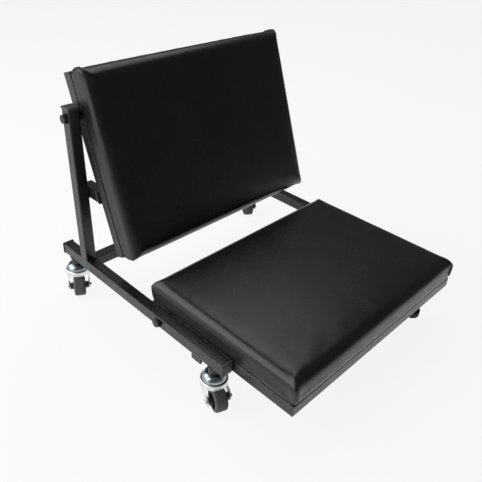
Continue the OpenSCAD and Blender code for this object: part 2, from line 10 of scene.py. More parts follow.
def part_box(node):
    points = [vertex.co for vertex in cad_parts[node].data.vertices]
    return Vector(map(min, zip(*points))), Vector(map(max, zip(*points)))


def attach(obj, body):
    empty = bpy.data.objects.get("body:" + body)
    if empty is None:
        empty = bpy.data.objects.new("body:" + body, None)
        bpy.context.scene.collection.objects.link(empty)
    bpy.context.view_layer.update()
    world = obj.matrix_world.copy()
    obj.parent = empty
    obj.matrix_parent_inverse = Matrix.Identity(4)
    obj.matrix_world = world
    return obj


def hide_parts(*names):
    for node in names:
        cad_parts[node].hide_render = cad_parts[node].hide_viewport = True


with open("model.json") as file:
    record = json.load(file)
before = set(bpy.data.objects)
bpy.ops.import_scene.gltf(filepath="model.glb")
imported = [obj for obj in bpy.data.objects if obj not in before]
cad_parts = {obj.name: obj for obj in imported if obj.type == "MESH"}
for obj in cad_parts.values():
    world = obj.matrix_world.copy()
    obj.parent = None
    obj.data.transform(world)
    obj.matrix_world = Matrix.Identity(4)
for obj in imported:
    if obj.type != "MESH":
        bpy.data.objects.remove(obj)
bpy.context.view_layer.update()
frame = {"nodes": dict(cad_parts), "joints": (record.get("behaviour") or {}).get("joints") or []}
parts = frame["nodes"]


# Tube work of the base: two rails, two posts, crossbars, stop stubs and the sockets of the casters.
# Square steel tube, welded up and then powder coated black. The powder cures to a fine pebbled
# skin, duller where it lies thick, with a faint cloudiness along the lengths.

def add(tree, kind, values=None, **settings):
    """A new node, with its settings and then the values of its inputs."""
    made = tree.nodes.new(kind)
    for name, value in settings.items():
        setattr(made, name, value)
    for name, value in (values or {}).items():
        made.inputs[name].default_value = value
    return made


def wire(tree, *joins):
    """Links nodes, each given as source, output, target and input."""
    for source, output, target, socket in joins:
        tree.links.new(source.outputs[output], target.inputs[socket])


def shader_group(name, inputs, outputs):
    group = bpy.data.node_groups.new(name, "ShaderNodeTree")
    for socket, value in inputs.items():
        made = group.interface.new_socket(socket, in_out="INPUT", socket_type="NodeSocketFloat")
        made.default_value = value
    for socket in outputs:
        group.interface.new_socket(socket, in_out="OUTPUT", socket_type="NodeSocketFloat")
    return group, add(group, "NodeGroupInput"), add(group, "NodeGroupOutput")


def make_cloudiness():
    """Soft blotches over a surface, between Low and High."""
    group, given, out = shader_group(
        "cloudiness", {"Scale": 20.0, "Detail": 3.0, "Low": 0.0, "High": 1.0}, ["Value"])
    where = add(group, "ShaderNodeTexCoord")
    noise = add(group, "ShaderNodeTexNoise", {"Roughness": 0.6})
    spread = add(group, "ShaderNodeMapRange", {"From Min": 0.3, "From Max": 0.7})
    wire(group, (where, "Object", noise, "Vector"), (given, "Scale", noise, "Scale"),
         (given, "Detail", noise, "Detail"), (noise, "Fac", spread, "Value"),
         (given, "Low", spread, "To Min"), (given, "High", spread, "To Max"),
         (spread, "Result", out, "Value"))
    return group


def make_pebbled_skin():
    """Height of a fine pebbled skin over a slower unevenness, for a Bump node."""
    group, given, out = shader_group(
        "pebbled_skin", {"Pebble Scale": 900.0, "Swell Scale": 60.0, "Swell": 0.3}, ["Height"])
    where = add(group, "ShaderNodeTexCoord")
    pebbles = add(group, "ShaderNodeTexVoronoi", {"Smoothness": 0.6}, feature="SMOOTH_F1")
    swell = add(group, "ShaderNodeTexNoise", {"Detail": 2.0})
    both = add(group, "ShaderNodeMath", operation="MULTIPLY_ADD")
    wire(group, (where, "Object", pebbles, "Vector"), (where, "Object", swell, "Vector"),
         (given, "Pebble Scale", pebbles, "Scale"), (given, "Swell Scale", swell, "Scale"),
         (swell, "Fac", both, 0), (given, "Swell", both, 1), (pebbles, "Distance", both, 2),
         (both, 0, out, "Height"))
    return group


CLOUDINESS = make_cloudiness()
PEBBLED_SKIN = make_pebbled_skin()


def use_group(tree, group, values):
    return add(tree, "ShaderNodeGroup", values, node_tree=group)


def coloured(tree, mask, dark, light):
    """Colour between two shades by a mask."""
    mix = add(tree, "ShaderNodeMix", {"A": (*dark, 1), "B": (*light, 1)}, data_type="RGBA")
    tree.links.new(mask, mix.inputs["Factor"])
    return mix.outputs["Result"]


def new_material(name):
    """An empty material, with its node tree and its surface shader."""
    material = bpy.data.materials.new(name)
    material.use_nodes = True
    return material, material.node_tree, material.node_tree.nodes["Principled BSDF"]


def new_finish(name, dark, light, patch, rough, relief, relief_height, **constants):
    """A material with clouded colour and roughness over a pebbled relief."""
    material, tree, shader = new_material(name)
    for socket, value in constants.items():
        shader.inputs[socket.replace("_", " ")].default_value = value
    shade = use_group(tree, CLOUDINESS, {"Scale": patch, "Detail": 4.0})
    tree.links.new(coloured(tree, shade.outputs["Value"], dark, light), shader.inputs["Base Color"])
    dull = use_group(tree, CLOUDINESS, {"Scale": 2.7 * patch, "Low": rough[0], "High": rough[1]})
    wire(tree, (dull, "Value", shader, "Roughness"))
    bump = add(tree, "ShaderNodeBump", {"Strength": 0.6, "Distance": relief_height})
    skin = use_group(tree, PEBBLED_SKIN, relief)
    wire(tree, (skin, "Height", bump, "Height"), (bump, "Normal", shader, "Normal"))
    return material


POWDER_COAT = new_finish(
    "powder_coat", (0.008, 0.008, 0.0085), (0.017, 0.017, 0.018), patch=14, rough=(0.20, 0.32),
    relief={"Pebble Scale": 420.0, "Swell Scale": 150.0, "Swell": 0.5}, relief_height=0.0007)


def dress(material, *names):
    for name in names:
        parts[name].material_slots[0].material = material


dress(POWDER_COAT, "rail_right", "rail_left", "post_right", "post_left", "rear_crossbar", "front_crossbar",
      "front_crossbar_packers", "stop_stub_right", "stop_stub_left", "caster_sockets")


# Frames of the seat and the backrest: four square tubes each, mitred at the corners and ground
# flush after welding, and the boss of the seat's foot. They carry the same black powder coat.

dress(POWDER_COAT, "seat_side_tube_right", "seat_side_tube_left", "seat_front_tube", "seat_rear_tube",
      "back_side_tube_right", "back_side_tube_left", "back_top_tube", "back_bottom_tube", "seat_foot_boss")


# Weld beads under the paint: short fillets where posts, crossbar and stubs meet, rings round the
# sockets and the foot's boss, and the unground inner corners of both frames. Each is a row of
# overlapping ripples, a little uneven as hand welding leaves them.

def geometry_tree(name, inputs):
    tree = bpy.data.node_groups.new(name, "GeometryNodeTree")
    tree.interface.new_socket("Geometry", in_out="INPUT", socket_type="NodeSocketGeometry")
    for socket, (kind, value) in inputs.items():
        made = tree.interface.new_socket(socket, in_out="INPUT", socket_type="NodeSocket" + kind)
        if value is not None:
            made.default_value = value
    tree.interface.new_socket("Geometry", in_out="OUTPUT", socket_type="NodeSocketGeometry")
    return tree, add(tree, "NodeGroupInput"), add(tree, "NodeGroupOutput")


def make_weld_tree():
    tree, given, out = geometry_tree("weld_bead_row", {
        "Ripple Spacing": ("Float", 0.0013), "Bead Radius": ("Float", 0.002),
        "Unevenness": ("Float", 0.15), "Seed": ("Int", 3), "Finish": ("Material", None)})
    line = add(tree, "GeometryNodeMeshToCurve")
    points = add(tree, "GeometryNodeResampleCurve", mode="LENGTH")
    ripple = add(tree, "GeometryNodeMeshIcoSphere", {"Subdivisions": 2})
    tangent = add(tree, "GeometryNodeInputTangent")
    turn = add(tree, "FunctionNodeAlignRotationToVector", axis="X")
    least = add(tree, "ShaderNodeMath", {0: 1.0}, operation="SUBTRACT")
    most = add(tree, "ShaderNodeMath", {0: 1.0}, operation="ADD")
    size = add(tree, "FunctionNodeRandomValue", data_type="FLOAT")
    flat = add(tree, "ShaderNodeCombineXYZ")
    thin = add(tree, "ShaderNodeMath", {1: 0.7}, operation="MULTIPLY")
    placed = add(tree, "GeometryNodeInstanceOnPoints")
    solid = add(tree, "GeometryNodeRealizeInstances")
    smooth = add(tree, "GeometryNodeSetShadeSmooth")
    painted = add(tree, "GeometryNodeSetMaterial")
    wire(tree, (given, "Geometry", line, "Mesh"), (line, "Curve", points, "Curve"),
         (given, "Ripple Spacing", points, "Length"), (given, "Bead Radius", ripple, "Radius"),
         (tangent, "Tangent", turn, "Vector"), (given, "Unevenness", least, 1),
         (given, "Unevenness", most, 1), (least, 0, size, 2), (most, 0, size, 3),
         (given, "Seed", size, "Seed"), (size, 1, thin, 0), (thin, 0, flat, "X"), (size, 1, flat, "Y"),
         (size, 1, flat, "Z"), (points, "Curve", placed, "Points"), (ripple, "Mesh", placed, "Instance"),
         (turn, "Rotation", placed, "Rotation"), (flat, "Vector", placed, "Scale"),
         (placed, "Instances", solid, "Geometry"), (solid, "Geometry", smooth, "Geometry"),
         (smooth, "Geometry", painted, "Geometry"), (given, "Finish", painted, "Material"),
         (painted, "Geometry", out, "Geometry"))
    return tree


def new_piece(name, mesh):
    piece = bpy.data.objects.new(name, mesh)
    bpy.context.scene.collection.objects.link(piece)
    return piece


def applied(piece, modifier):
    """Gives a piece the mesh that its modifier makes, and takes the modifier off."""
    graph = bpy.context.evaluated_depsgraph_get()
    made = bpy.data.meshes.new_from_object(piece.evaluated_get(graph), depsgraph=graph)
    piece.modifiers.remove(modifier)
    piece.data = made


def grown(name, tree, seed_mesh, values):
    """The tree's result over a seed mesh, as a plain mesh of its own."""
    piece = new_piece(name, seed_mesh)
    modifier = piece.modifiers.new("grow", "NODES")
    modifier.node_group = tree
    for socket in tree.interface.items_tree:
        if socket.in_out == "INPUT" and socket.name in values:
            modifier[socket.identifier] = values[socket.name]
    applied(piece, modifier)
    piece.data.name = name
    return piece


def line_mesh(name, lines):
    """Mesh of loose edges through each line's points."""
    corners, edges = [], []
    for line in lines:
        start = len(corners)
        corners += [tuple(p) for p in line]
        edges += [(start + i, start + i + 1) for i in range(len(line) - 1)]
    mesh = bpy.data.meshes.new(name)
    mesh.from_pydata(corners, edges, [])
    return mesh


def ring_line(centre, radius, count=40):
    return [(centre[0] + radius * math.cos(math.tau * k / count),
             centre[1] + radius * math.sin(math.tau * k / count), centre[2]) for k in range(count + 1)]


WELD_TREE = make_weld_tree()
BEAD = {"Ripple Spacing": 0.0012, "Bead Radius": 0.0019, "Unevenness": 0.14, "Finish": POWDER_COAT}
BEAD_INSET = 0.002
BEAD_STAND_OFF = 0.0004
SOCKET_R = 0.0125
FOOT_BOSS_R = 0.008


def base_weld_lines():
    lines = []
    for side, post, stub in ((-1, "post_right", "stop_stub_right"), (1, "post_left", "stop_stub_left")):
        low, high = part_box(post)
        for y in (low.y - BEAD_STAND_OFF, high.y + BEAD_STAND_OFF):
            lines.append([(low.x + BEAD_INSET, y, low.z), (high.x - BEAD_INSET, y, low.z)])
        inner = high.x if side < 0 else low.x
        bar_low, bar_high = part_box("rear_crossbar")
        for y in (bar_low.y, bar_high.y):
            lines.append([(inner, y, bar_low.z + BEAD_INSET), (inner, y, bar_high.z - BEAD_INSET)])
        for z in (bar_low.z, bar_high.z):
            lines.append([(inner, bar_low.y + BEAD_INSET, z), (inner, bar_high.y - BEAD_INSET, z)])
        stub_low, stub_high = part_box(stub)
        for z in (stub_low.z, stub_high.z):
            lines.append([(inner, low.y + BEAD_INSET / 2, z), (inner, high.y - BEAD_INSET, z)])
        lines.append([(inner, high.y, stub_low.z + BEAD_INSET), (inner, high.y, stub_high.z - BEAD_INSET)])
    for joint in frame["joints"]:
        if joint["name"].startswith("swivel"):
            x, y, _ = joint["pos_m"]
            lines.append(ring_line((x, y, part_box("rail_right")[0].z), SOCKET_R))
    return lines


base_welds = grown("base_weld_beads", WELD_TREE, line_mesh("base_welds", base_weld_lines()),
                   {**BEAD, "Seed": 3})
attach(base_welds, "base")

SEAT_PIVOT = Matrix.Translation((0, -0.0125, 0.1075))
BACK_PIVOT = Matrix.Translation((0, 0.256, 0.456)) @ Matrix.Rotation(math.radians(70), 4, "X")
PANELS = {
    "seat": {"place": SEAT_PIVOT, "half_w": 0.2765, "fore": 0.334, "aft": 0.054, "drop": 0.004},
    "back": {"place": BACK_PIVOT, "half_w": 0.275, "fore": 0.307, "aft": 0.084, "drop": 0.0},
}
BODY_OF = {"seat": "seat", "back": "backrest"}
TUBE = 0.025


def frame_weld_lines(panel):
    """Upright beads in the four inner corners of a frame, drawn flat round its pivot."""
    x = panel["half_w"] - TUBE
    reach = TUBE / 2 - BEAD_INSET
    bottom, top = -panel["drop"] - reach, -panel["drop"] + reach
    return [[(sx * x, y, bottom), (sx * x, y, top)]
            for sx in (-1, 1) for y in (TUBE - panel["fore"], panel["aft"] - TUBE)]


for key, panel in PANELS.items():
    lines = frame_weld_lines(panel)
    if key == "seat":
        low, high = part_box("seat_foot_boss")
        middle = (low + high) / 2 - SEAT_PIVOT.translation
        lines.append(ring_line((middle.x, middle.y, high.z - SEAT_PIVOT.translation.z), FOOT_BOSS_R, 24))
    welds = grown(key + "_frame_weld_beads", WELD_TREE, line_mesh(key + "_welds", lines), {**BEAD, "Seed": 8})
    welds.data.transform(panel["place"])
    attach(welds, BODY_OF[key])


# Plugs in the rail ends, caps on the posts and plugs in the front crossbar. Moulded polyethylene,
# a greyer black than the paint, with the spark-eroded grain of the mould.

MOULDED_PLUG = new_finish(
    "moulded_plug", (0.045, 0.045, 0.048), (0.080, 0.080, 0.084), patch=30, rough=(0.42, 0.58),
    relief={"Pebble Scale": 1900.0, "Swell Scale": 150.0, "Swell": 0.4}, relief_height=0.00018)
dress(MOULDED_PLUG, "rail_end_plugs", "post_caps", "crossbar_end_plugs")


# Pads of the stop stubs and the pad of the seat's foot: moulded black rubber, matt and slightly
# greyed where it has been handled, with a fine dry grain.

SOFT_RUBBER = new_finish(
    "soft_rubber", (0.016, 0.016, 0.016), (0.040, 0.040, 0.039), patch=60, rough=(0.66, 0.84),
    relief={"Pebble Scale": 1500.0, "Swell Scale": 320.0, "Swell": 0.9}, relief_height=0.00025)
dress(SOFT_RUBBER, "stop_stub_pads", "seat_foot_pad")


# Casters: stem, domed upper race, ball race and fork of pressed steel. Zinc plated: the domes mirror
# their surroundings and are given a darker zinc than the rest, a painted dark reflection of the rail
# above them; the forks are paler and satin from the drawing of the sheet.

def plated(name, dark, light, rough, patch, scuff):
    """Bright plating with cloudy passivation and fine scuffs."""
    return new_finish(name, dark, light, patch=patch, rough=rough,
                      relief={"Pebble Scale": 700.0, "Swell Scale": 90.0, "Swell": 1.5},
                      relief_height=scuff, Metallic=1.0)


ZINC_BRIGHT = plated("zinc_bright", (0.60, 0.63, 0.67), (0.84, 0.86, 0.88), (0.12, 0.24), 90, 0.00006)
# The domes' zinc is darker than the rest: a painted dark reflection of the rail above them.
ZINC_PAINTED_DARK_REFLECTION = plated("zinc_painted_dark_reflection", (0.26, 0.30, 0.33), (0.42, 0.46, 0.49), (0.16, 0.28), 90, 0.00006)
ZINC_SATIN = plated("zinc_satin", (0.72, 0.76, 0.76), (0.88, 0.91, 0.90), (0.30, 0.44), 70, 0.00010)
CORNERS = ("rear_right", "front_right", "rear_left", "front_left")
dress(ZINC_PAINTED_DARK_REFLECTION, "caster_top_races")
dress(ZINC_BRIGHT, "caster_stems", "caster_bearing_balls")
for corner in CORNERS:
    dress(ZINC_SATIN, "fork_" + corner)
    dress(ZINC_BRIGHT, "axle_" + corner, "axle_nut_" + corner)


# Wheels: a dark grey rubber tread moulded over a black nylon centre. The tread keeps the mould's
# parting line round its middle and faint rings on its shoulders, so each wheel has its own axis.

def tread_rubber(corner, centre, axis):
    """Grey tread rubber with moulding lines round one wheel's axle."""
    material = new_finish(
        "tread_" + corner, (0.060, 0.060, 0.066), (0.115, 0.115, 0.122), patch=45, rough=(0.50, 0.66),
        relief={"Pebble Scale": 1300.0, "Swell Scale": 200.0, "Swell": 0.6}, relief_height=0.00012)
    tree = material.node_tree
    where = add(tree, "ShaderNodeTexCoord")
    from_axle = add(tree, "ShaderNodeVectorMath", {1: centre}, operation="SUBTRACT")
    along = add(tree, "ShaderNodeVectorMath", {1: axis}, operation="DOT_PRODUCT")
    rings = add(tree, "ShaderNodeMath", {1: math.tau / 0.0035}, operation="MULTIPLY")
    wave = add(tree, "ShaderNodeMath", operation="COSINE")
    sharp = add(tree, "ShaderNodeMath", {1: 24.0}, operation="POWER")
    whole = add(tree, "ShaderNodeMath", operation="ABSOLUTE")
    line = add(tree, "ShaderNodeBump", {"Strength": 0.7, "Distance": 0.0003})
    shader = tree.nodes["Principled BSDF"]
    fine = shader.inputs["Normal"].links[0].from_socket
    wire(tree, (where, "Object", from_axle, 0), (from_axle, "Vector", along, 0),
         (along, "Value", rings, 0), (rings, 0, wave, 0), (wave, 0, whole, 0), (whole, 0, sharp, 0),
         (sharp, 0, line, "Height"))
    tree.links.new(fine, line.inputs["Normal"])
    wire(tree, (line, "Normal", shader, "Normal"))
    return material


HUB_NYLON = new_finish(
    "hub_nylon", (0.030, 0.030, 0.033), (0.060, 0.060, 0.064), patch=40, rough=(0.34, 0.48),
    relief={"Pebble Scale": 1600.0, "Swell Scale": 180.0, "Swell": 0.4}, relief_height=0.0001)
for joint in frame["joints"]:
    if joint["name"].startswith("roll_"):
        corner = joint["name"][len("roll_"):]
        dress(tread_rubber(corner, joint["pos_m"], joint["axis"]), "tyre_" + corner)
        dress(HUB_NYLON, "hub_" + corner)


# Pivot bolts of the seat and the backrest: shouldered hex bolts, oiled black, with chamfered heads
# on a washer face and a cut thread, and lock nuts with a pale nylon collar. Turned and threaded.

BLACK_OXIDE = new_finish(
    "black_oxide", (0.030, 0.029, 0.028), (0.075, 0.073, 0.070), patch=120, rough=(0.30, 0.46),
    relief={"Pebble Scale": 900.0, "Swell Scale": 300.0, "Swell": 1.0}, relief_height=0.00005, Metallic=0.85)
NYLON_COLLAR = new_finish(
    "nylon_collar", (0.42, 0.43, 0.44), (0.60, 0.61, 0.62), patch=150, rough=(0.35, 0.5),
    relief={"Pebble Scale": 2000.0, "Swell Scale": 300.0, "Swell": 0.5}, relief_height=0.00005)
STEEL_SATIN = plated("steel_satin", (0.58, 0.60, 0.62), (0.76, 0.78, 0.79), (0.28, 0.42), 160, 0.00006)


def lathe(bm, profile, radius_at=None, count=48):
    """Solid of revolution about Z from (radius, height) pairs, ending on the axis or where it began."""
    rings = []
    for radius, height in profile:
        if radius < 1e-9:
            rings.append([bm.verts.new((0, 0, height))])
            continue
        ring = []
        for k in range(count):
            a = math.tau * k / count
            r = min(radius, radius_at(a)) if radius_at else radius
            ring.append(bm.verts.new((r * math.cos(a), r * math.sin(a), height)))
        rings.append(ring)
    for low, high in zip(rings, rings[1:]):
        for k in range(count):
            n = (k + 1) % count
            if len(low) == 1 and len(high) > 1:
                face = (low[0], high[n], high[k])
            elif len(high) == 1 and len(low) > 1:
                face = (low[k], low[n], high[0])
            else:
                face = (low[k], low[n], high[n], high[k])
            bm.faces.new(face)


def hexagon(across):
    """Radius of a hexagon at an angle, with a corner on the X axis."""
    return lambda a: across / 2 / math.cos((a + math.pi / 6) % (math.pi / 3) - math.pi / 6)


def mesh_from(name, bm, *materials):
    """Mesh of a finished shape, its doubles merged and its faces turned outwards."""
    bmesh.ops.remove_doubles(bm, verts=bm.verts, dist=1e-7)
    bmesh.ops.recalc_face_normals(bm, faces=bm.faces)
    mesh = bpy.data.meshes.new(name)
    bm.to_mesh(mesh)
    bm.free()
    for material in materials:
        mesh.materials.append(material)
    mesh.shade_smooth()
    return mesh


def soften_by_angle(mesh, degrees=35):
    """Smooth shading that stays sharp over steeper edges."""
    mesh.shade_smooth()
    mesh.set_sharp_from_angle(angle=math.radians(degrees))


def pivot_bolt_mesh(name, grip, across=0.017, head=0.0064, shank=0.005, thread=0.004, tail=0.0095):
    """Bolt along Z with its head's underside at zero and its nut seat at -grip."""
    bm = bmesh.new()
    pitch, depth = 0.00125, 0.0006
    corner = across / 2 / math.cos(math.pi / 6)
    lathe(bm, [(0, 0), (0.47 * across, 0), (0.47 * across, 0.0005), (corner, 0.0005),
               (corner, head - 0.0014), (0.46 * across, head), (0, head)], hexagon(across), 72)
    ridges = [(0, -grip - tail), (thread - 0.001, -grip - tail)]
    turns = int(tail / pitch)
    for k in range(turns, 0, -1):
        z = -grip - k * pitch
        ridges += [(thread - depth, z + 0.1 * pitch), (thread - 0.0001, z + 0.5 * pitch),
                   (thread - depth, z + 0.9 * pitch)]
    ridges += [(thread - depth, -grip), (shank - 0.0003, -grip), (shank - 0.00003, -grip + 0.0003),
               (shank - 0.00003, 0.0002), (0, 0.0002)]
    lathe(bm, ridges)
    mesh = mesh_from(name, bm, BLACK_OXIDE)
    soften_by_angle(mesh)
    return mesh


def lock_nut_mesh(name, across=0.013, height=0.008, bore=0.00405):
    """Lock nut standing on Z = 0, with its collar of nylon at the top."""
    bm = bmesh.new()
    corner = across / 2 / math.cos(math.pi / 6)
    hexed = [(bore, 0), (0.46 * across, 0), (corner, 0.0009), (corner, 0.0056), (0.45 * across, 0.0061),
             (0.43 * across, 0.0074), (0.36 * across, height), (bore + 0.0010, height),
             (bore, height - 0.0012)]
    lathe(bm, hexed + [hexed[0]], hexagon(across), 72)
    mesh = mesh_from(name, bm, BLACK_OXIDE)
    soften_by_angle(mesh)
    collar = bmesh.new()
    low, high, outer = height - 0.0014, height + 0.00005, bore + 0.0013
    ring = [(bore, low), (outer, low), (outer, high), (bore, high)]
    lathe(collar, ring + [ring[0]])
    return mesh, mesh_from(name + "_collar", collar, NYLON_COLLAR)


def make_fastener_tree():
    """Sets a fastener on each point of the seed mesh, turned to it and spun by its own amount."""
    tree, given, out = geometry_tree("fastener_row", {
        "Fastener": ("Object", None), "Turn": ("Vector", (0.0, 0.0, 0.0)), "Spin": ("Float", 3.0),
        "Seed": ("Int", 5), "Finish": ("Material", None)})
    thing = add(tree, "GeometryNodeObjectInfo")
    spin = add(tree, "FunctionNodeRandomValue", data_type="FLOAT")
    spun = add(tree, "FunctionNodeAxisAngleToRotation", {"Axis": (0, 0, 1)})
    turned = add(tree, "FunctionNodeEulerToRotation")
    both = add(tree, "FunctionNodeRotateRotation", rotation_space="LOCAL")
    placed = add(tree, "GeometryNodeInstanceOnPoints")
    solid = add(tree, "GeometryNodeRealizeInstances")
    finished = add(tree, "GeometryNodeSetMaterial")
    wire(tree, (given, "Fastener", thing, "Object"), (given, "Spin", spin, 3),
         (given, "Seed", spin, "Seed"), (spin, 1, spun, "Angle"), (given, "Turn", turned, "Euler"),
         (turned, "Rotation", both, "Rotation"), (spun, "Rotation", both, "Rotate By"),
         (given, "Geometry", placed, "Points"), (thing, "Geometry", placed, "Instance"),
         (both, "Rotation", placed, "Rotation"), (placed, "Instances", solid, "Geometry"),
         (solid, "Geometry", finished, "Geometry"), (given, "Finish", finished, "Material"),
         (finished, "Geometry", out, "Geometry"))
    return tree


FASTENER_TREE = make_fastener_tree()


def point_mesh(name, points):
    mesh = bpy.data.meshes.new(name)
    mesh.from_pydata([tuple(p) for p in points], [], [])
    return mesh


def fastened(name, template_mesh, points, turn, spin, seed):
    """Copies of a fastener at points, as one plain mesh."""
    finish = template_mesh.materials[0]
    template = new_piece(name + "_template", template_mesh)
    made = grown(name, FASTENER_TREE, point_mesh(name + "_points", points),
                 {"Fastener": template, "Turn": turn, "Spin": spin, "Seed": seed, "Finish": finish})
    bpy.data.objects.remove(template)
    made.data.materials.clear()
    made.data.materials.append(finish)
    return made


def joined(name, pieces):
    """One object with the meshes of several."""
    bm = bmesh.new()
    materials = []
    for piece in pieces:
        start = len(bm.faces)
        bm.from_mesh(piece.data)
        bm.faces.ensure_lookup_table()
        shift = len(materials)
        materials += list(piece.data.materials)
        for face in bm.faces[start:]:
            face.material_index += shift
        bpy.data.objects.remove(piece)
    mesh = bpy.data.meshes.new(name)
    bm.to_mesh(mesh)
    bm.free()
    for material in materials:
        mesh.materials.append(material)
    return new_piece(name, mesh)


BASE_HALF_W = 0.304
WASHER = 0.002
NUT_GAP = 0.0003
for key, seed in (("back", 2), ("seat", 7)):
    _, y, z = PANELS[key]["place"].translation
    head_x = BASE_HALF_W + WASHER
    nut_x = PANELS[key]["half_w"] - TUBE - NUT_GAP
    bolts, nuts = [], []
    for side in (-1, 1):
        outward = (0, side * math.pi / 2, 0)
        inward = (0, -side * math.pi / 2, 0)
        bolts.append(fastened(f"{key}_bolt_{side + 1}", pivot_bolt_mesh("pivot_bolt", head_x - nut_x),
                              [(side * head_x, y, z)], turn=outward, spin=1.0, seed=seed + side))
        for part in lock_nut_mesh("lock_nut"):
            nuts.append(fastened(f"{key}_nut_{side + 1}_{len(nuts)}", part,
                                 [(side * nut_x, y, z)], turn=inward, spin=0.0, seed=1))
    bolt_pair = joined(key + "_hex_bolts", bolts)
    nut_pair = joined(key + "_lock_nuts", nuts)
    for piece, node in ((bolt_pair, key + "_pivot_bolts"), (nut_pair, key + "_pivot_nuts")):
        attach(piece, "base")
        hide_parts(node)


# Washers under the bolt heads and beside the seat frame, and spacers between posts and backrest.
# Stamped or cut from bar and oiled black like the bolts that they sit on.

dress(BLACK_OXIDE, "pivot_washers", "back_pivot_spacers")


# Boards of the seat and the backrest: thin birch plywood, raw underneath, with the grain of the
# face veneer along the seat's length and small pores that roughen its surface.

def plywood_face(name, turn):
    """Birch veneer whose grain runs along the board once turned to lie with it."""
    material, tree, shader = new_material(name)
    where = add(tree, "ShaderNodeTexCoord")
    lie = add(tree, "ShaderNodeMapping", {"Rotation": turn})
    grain = add(tree, "ShaderNodeMapping", {"Scale": (26.0, 1.6, 26.0)})
    rings = add(tree, "ShaderNodeTexNoise",
                {"Scale": 2.2, "Detail": 6.0, "Roughness": 0.62, "Distortion": 0.8})
    tone = add(tree, "ShaderNodeValToRGB")
    tone.color_ramp.elements[0].position = 0.32
    tone.color_ramp.elements[0].color = (0.36, 0.235, 0.125, 1)
    tone.color_ramp.elements[1].position = 0.68
    tone.color_ramp.elements[1].color = (0.60, 0.44, 0.27, 1)
    pores = add(tree, "ShaderNodeTexNoise", {"Scale": 30.0, "Detail": 3.0})
    rough = add(tree, "ShaderNodeMapRange",
                {"From Min": 0.3, "From Max": 0.7, "To Min": 0.55, "To Max": 0.78})
    bump = add(tree, "ShaderNodeBump", {"Strength": 0.5, "Distance": 0.0003})
    wire(tree, (where, "Object", lie, "Vector"), (lie, "Vector", grain, "Vector"),
         (grain, "Vector", rings, "Vector"), (grain, "Vector", pores, "Vector"),
         (rings, "Fac", tone, "Fac"), (tone, "Color", shader, "Base Color"),
         (pores, "Fac", rough, "Value"), (rough, "Result", shader, "Roughness"),
         (pores, "Fac", bump, "Height"), (bump, "Normal", shader, "Normal"))
    return material


dress(plywood_face("plywood_seat", (0, 0, 0)), "seat_board")
dress(plywood_face("plywood_back", (math.radians(-70), 0, 0)), "back_board")


# Screws that hold the boards: pan heads with a cross recess, zinc plated, driven from below
# through the side tubes. Each stands at its own turn.

def pan_screw_mesh(name, head=0.0045, tall=0.003, shank=0.00225, length=0.032):
    """Screw whose head hangs below Z = 0 and whose shank rises above it."""
    bm = bmesh.new()
    count = 48
    arm, arm_width, deep, shallow = 0.0021, 0.0012, 0.0014, 0.0003

    def recess(r, a):
        inside = r < arm and abs(math.sin(2 * a)) * r < arm_width
        return deep * max(0.0, 1 - r / 0.0026) + shallow if inside else 0.0

    angles = [math.tau * k / count for k in range(count)]
    rings = []
    for r in (0.0, 0.0004, 0.0008, 0.0012, 0.0016, 0.0020, 0.0022, 0.0030, 0.0038, head - 0.0002, head):
        z = -tall * math.sqrt(max(0.0, 1 - (r / head) ** 3.2)) if r < head else -0.0002
        if r == 0:
            rings.append([bm.verts.new((0, 0, z + recess(0, 0)))])
        else:
            rings.append([bm.verts.new((r * math.cos(a), r * math.sin(a), z + recess(r, a))) for a in angles])
    for r, z in ((head, 0), (shank, 0), (shank, length)):
        rings.append([bm.verts.new((r * math.cos(a), r * math.sin(a), z)) for a in angles])
    rings.append([bm.verts.new((0, 0, length))])
    for low, high in zip(rings, rings[1:]):
        for k in range(count):
            n = (k + 1) % count
            if len(low) == 1:
                bm.faces.new((low[0], high[k], high[n]))
            elif len(high) == 1:
                bm.faces.new((low[k], high[0], low[n]))
            else:
                bm.faces.new((low[k], high[k], high[n], low[n]))
    mesh = mesh_from(name, bm, STEEL_SATIN)
    soften_by_angle(mesh)
    return mesh


SCREW_INSET = 0.024
for key, panel in PANELS.items():
    rows = (-panel["fore"] + SCREW_INSET, (panel["aft"] - panel["fore"]) / 2, panel["aft"] - SCREW_INSET)
    under = -panel["drop"] - TUBE / 2
    places = [(s * (panel["half_w"] - TUBE / 2), y, under) for s in (-1, 1) for y in rows]
    screws = fastened(key + "_pan_screws", pan_screw_mesh("pan_screw"), places,
                      turn=(0.0, 0.0, 0.0), spin=3.0, seed=11)
    screws.data.transform(panel["place"])
    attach(screws, BODY_OF[key])
    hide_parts(key + "_board_screws")


# Pads: a block of foam on each board under a tight cover of smooth black vinyl-coated cloth. The
# foam swells the cover between its corners, and the cover keeps a faint leather grain and satin shine.

VINYL = new_finish(
    "black_vinyl", (0.0085, 0.0085, 0.009), (0.013, 0.013, 0.0135), patch=5, rough=(0.22, 0.31),
    relief={"Pebble Scale": 1000.0, "Swell Scale": 30.0, "Swell": 1.3}, relief_height=0.00022,
    Specular_IOR_Level=0.4)

PAD_THICK = 0.054
PAD_CROWN = 0.006
PAD_INSET = 0.00025
PAD_CLEAR = 0.0003
BOARD_T = 0.009
BOARD_INSET = 0.010
FOAM_SHORT, CROWN_SHORT = 0.001, 0.002
HELD_EDGE = 0.008
COVER_PRESSURE = 4.0
COVER_MOVE = 0.0016


def eased_steps(half, corner, pitch):
    """Grid lines over a width, closer together where the corner rounds."""
    flat = half - corner
    count = max(2, round(2 * flat / pitch))
    arc = [corner * math.tan(math.radians(45 * k / 4)) for k in (1, 2, 3, 4)]
    return ([-flat - a for a in reversed(arc)] + [-flat + 2 * flat * k / count for k in range(count + 1)]
            + [flat + a for a in arc])


